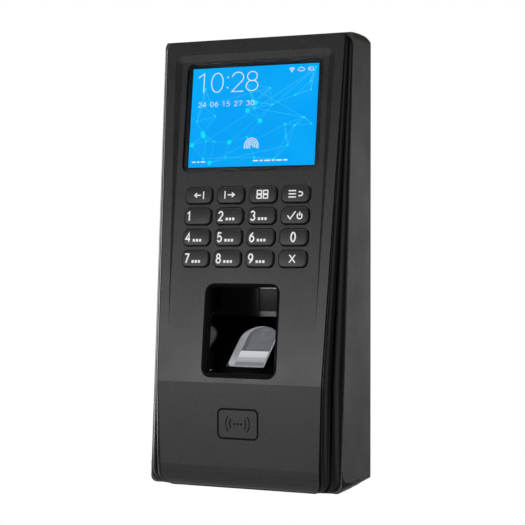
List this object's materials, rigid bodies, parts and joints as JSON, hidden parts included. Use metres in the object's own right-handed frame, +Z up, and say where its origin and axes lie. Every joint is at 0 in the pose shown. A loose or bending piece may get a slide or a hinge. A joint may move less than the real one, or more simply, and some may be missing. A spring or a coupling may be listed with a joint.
{
  "type": "fingerprint access terminal",
  "caption": "Wall-mounted fingerprint terminal with a sloping front, colour display, keypad, open finger well over a tilted platen, and card reader area.",
  "frame": {"origin": "centre of the wall plate's rear face, on the wall plane at mid-width and mid-height of the body", "axes": "+Z up, +Y into the wall, so the display and keys face -Y, and +X is the user's right"},
  "size_m": [0.082, 0.04, 0.18],
  "materials": {
    "zinc_steel": "zinc-plated sheet steel",
    "screw_steel": "plated screws",
    "shell_plastic": "fine matt texture, warm dark grey",
    "gloss_bezel": "polished black",
    "cover_plastic": "fine matt texture, black-grey",
    "key_plastic": "satin, soft touch",
    "seal_foam": "closed-cell foam",
    "window_lens": "clear lens with a printed black border",
    "lcd_glass": "lit colour display",
    "tin_plate": "tinned sheet",
    "flex_film": "polyimide film",
    "silicone": "translucent silicone",
    "circuit_board": "solder mask on glass-fibre board",
    "platen_glass": "polished optical glass",
    "smoked_window": "smoked infrared window",
    "inner_plastic": "moulded black plastic",
    "copper": "bare copper track",
    "cell_steel": "nickel-plated cell case",
    "relay_blue": "moulded relay case",
    "terminal_green": "moulded terminal housing",
    "white_plastic": "moulded acetal"
  },
  "bodies": {
    "casing": {"wall_plate": "zinc_steel", "lock_screw": "screw_steel", "rear_shell": "shell_plastic", "side_bezel": "gloss_bezel", "front_cover": "cover_plastic", "shell_gasket": "seal_foam", "casing_screws": "screw_steel", "display_window": "window_lens", "display_gasket": "seal_foam", "lcd_panel": "lcd_glass", "lcd_frame": "tin_plate", "lcd_ribbon": "flex_film", "keypad_mat": "silicone", "keypad_board": "circuit_board", "keypad_screws": "screw_steel", "finger_well": "gloss_bezel", "sensor_platen": "platen_glass", "presence_window": "smoked_window", "sensor_housing": "inner_plastic", "sensor_board": "circuit_board", "sensor_ribbon": "flex_film", "card_board": "circuit_board", "card_coil": "copper", "main_board": "circuit_board", "processor_shield": "tin_plate", "backup_cell": "cell_steel", "cell_holder": "inner_plastic", "board_screws": "screw_steel", "io_board": "circuit_board", "relay": "relay_blue", "network_jack": "inner_plastic", "terminal_blocks": "terminal_green", "usb_socket": "tin_plate", "speaker": "inner_plastic", "tamper_switch": "inner_plastic", "wifi_antenna": "copper"},
    "key_in": {"key_in": "key_plastic"},
    "key_out": {"key_out": "key_plastic"},
    "key_fn": {"key_fn": "key_plastic"},
    "key_menu": {"key_menu": "key_plastic"},
    "key_1": {"key_1": "key_plastic"},
    "key_2": {"key_2": "key_plastic"},
    "key_3": {"key_3": "key_plastic"},
    "key_ok": {"key_ok": "key_plastic"},
    "key_4": {"key_4": "key_plastic"},
    "key_5": {"key_5": "key_plastic"},
    "key_6": {"key_6": "key_plastic"},
    "key_0": {"key_0": "key_plastic"},
    "key_7": {"key_7": "key_plastic"},
    "key_8": {"key_8": "key_plastic"},
    "key_9": {"key_9": "key_plastic"},
    "key_clear": {"key_clear": "key_plastic"},
    "tamper_plunger": {"tamper_plunger": "white_plastic"}
  },
  "joints": [
    {"name": "key_in_press", "type": "slide", "parent": "casing", "child": "key_in", "axis": [0, 0.9913, -0.1316], "range_m": [0, 0.0008], "stiffness_N_per_m": 300, "springref_m": -0.0005},
    {"name": "key_out_press", "type": "slide", "parent": "casing", "child": "key_out", "axis": [0, 0.9913, -0.1316], "range_m": [0, 0.0008], "stiffness_N_per_m": 300, "springref_m": -0.0005},
    {"name": "key_fn_press", "type": "slide", "parent": "casing", "child": "key_fn", "axis": [0, 0.9913, -0.1316], "range_m": [0, 0.0008], "stiffness_N_per_m": 300, "springref_m": -0.0005},
    {"name": "key_menu_press", "type": "slide", "parent": "casing", "child": "key_menu", "axis": [0, 0.9913, -0.1316], "range_m": [0, 0.0008], "stiffness_N_per_m": 300, "springref_m": -0.0005},
    {"name": "key_1_press", "type": "slide", "parent": "casing", "child": "key_1", "axis": [0, 0.9913, -0.1316], "range_m": [0, 0.0008], "stiffness_N_per_m": 300, "springref_m": -0.0005},
    {"name": "key_2_press", "type": "slide", "parent": "casing", "child": "key_2", "axis": [0, 0.9913, -0.1316], "range_m": [0, 0.0008], "stiffness_N_per_m": 300, "springref_m": -0.0005},
    {"name": "key_3_press", "type": "slide", "parent": "casing", "child": "key_3", "axis": [0, 0.9913, -0.1316], "range_m": [0, 0.0008], "stiffness_N_per_m": 300, "springref_m": -0.0005},
    {"name": "key_ok_press", "type": "slide", "parent": "casing", "child": "key_ok", "axis": [0, 0.9913, -0.1316], "range_m": [0, 0.0008], "stiffness_N_per_m": 300, "springref_m": -0.0005},
    {"name": "key_4_press", "type": "slide", "parent": "casing", "child": "key_4", "axis": [0, 0.9913, -0.1316], "range_m": [0, 0.0008], "stiffness_N_per_m": 300, "springref_m": -0.0005},
    {"name": "key_5_press", "type": "slide", "parent": "casing", "child": "key_5", "axis": [0, 0.9913, -0.1316], "range_m": [0, 0.0008], "stiffness_N_per_m": 300, "springref_m": -0.0005},
    {"name": "key_6_press", "type": "slide", "parent": "casing", "child": "key_6", "axis": [0, 0.9913, -0.1316], "range_m": [0, 0.0008], "stiffness_N_per_m": 300, "springref_m": -0.0005},
    {"name": "key_0_press", "type": "slide", "parent": "casing", "child": "key_0", "axis": [0, 0.9913, -0.1316], "range_m": [0, 0.0008], "stiffness_N_per_m": 300, "springref_m": -0.0005},
    {"name": "key_7_press", "type": "slide", "parent": "casing", "child": "key_7", "axis": [0, 0.9913, -0.1316], "range_m": [0, 0.0008], "stiffness_N_per_m": 300, "springref_m": -0.0005},
    {"name": "key_8_press", "type": "slide", "parent": "casing", "child": "key_8", "axis": [0, 0.9913, -0.1316], "range_m": [0, 0.0008], "stiffness_N_per_m": 300, "springref_m": -0.0005},
    {"name": "key_9_press", "type": "slide", "parent": "casing", "child": "key_9", "axis": [0, 0.9913, -0.1316], "range_m": [0, 0.0008], "stiffness_N_per_m": 300, "springref_m": -0.0005},
    {"name": "key_clear_press", "type": "slide", "parent": "casing", "child": "key_clear", "axis": [0, 0.9913, -0.1316], "range_m": [0, 0.0008], "stiffness_N_per_m": 300, "springref_m": -0.0005},
    {"name": "tamper_press", "type": "slide", "parent": "casing", "child": "tamper_plunger", "axis": [0, -1, 0], "range_m": [0, 0.0005], "stiffness_N_per_m": 200, "springref_m": -0.001}
  ]
}
